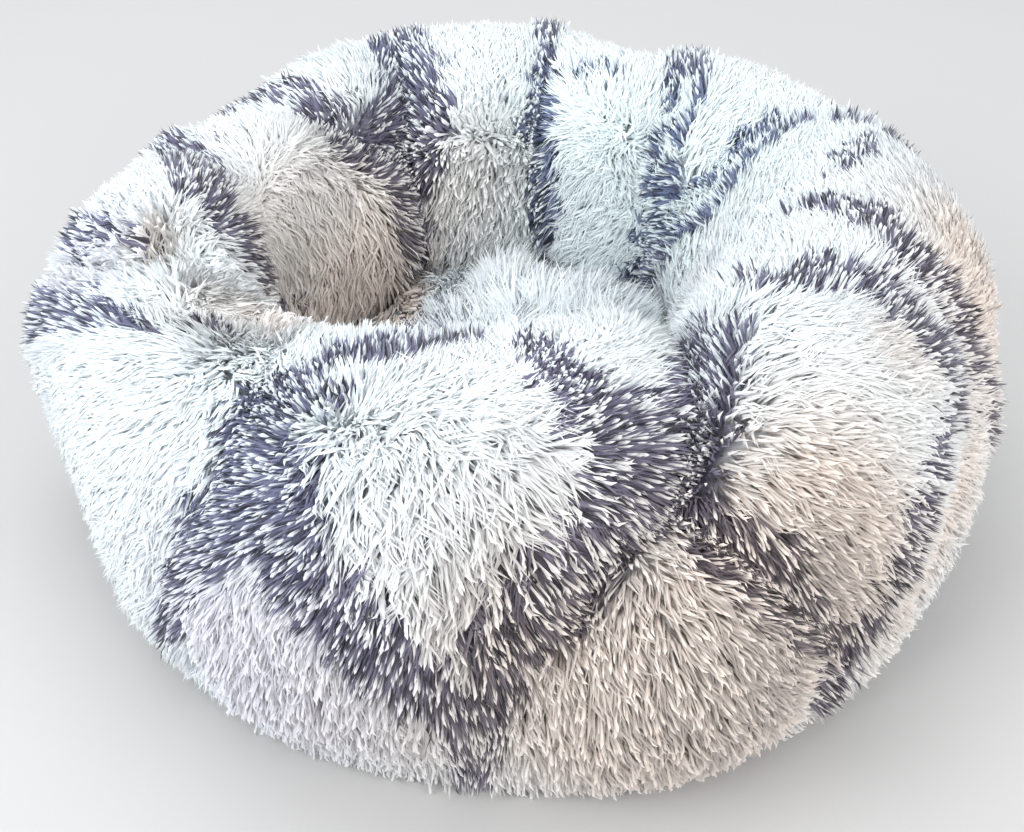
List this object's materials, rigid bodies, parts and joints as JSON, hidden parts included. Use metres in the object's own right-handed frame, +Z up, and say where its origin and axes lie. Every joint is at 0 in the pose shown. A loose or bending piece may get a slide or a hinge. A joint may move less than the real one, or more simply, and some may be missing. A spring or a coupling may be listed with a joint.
{
  "type": "cat bed",
  "caption": "Round plush cat bed: a stuffed long-pile ring with gathered folds round a small, deep nest with a domed cushion, on a base cloth with grip dots.",
  "frame": {"origin": "centre of the underside on the floor", "axes": "+Z up out of the nest, -Y towards the near side of the bed, +X to its right"},
  "size_m": [0.5876, 0.5827, 0.2467],
  "materials": {
    "ring_fur": "long shaggy pile, white with dark purplish grey dyed streaks",
    "cushion_fur": "long shaggy pile, white",
    "filling_fibre": "loose polyester fibre",
    "base_fabric": "plain weave with moulded grip dots"
  },
  "bodies": {
    "root": {"ring_cover_right": "ring_fur", "ring_cover_left": "ring_fur", "ring_filling": "filling_fibre", "nest_cushion_cover": "cushion_fur", "nest_cushion_filling": "filling_fibre", "base_cloth": "base_fabric"}
  },
  "joints": []
}
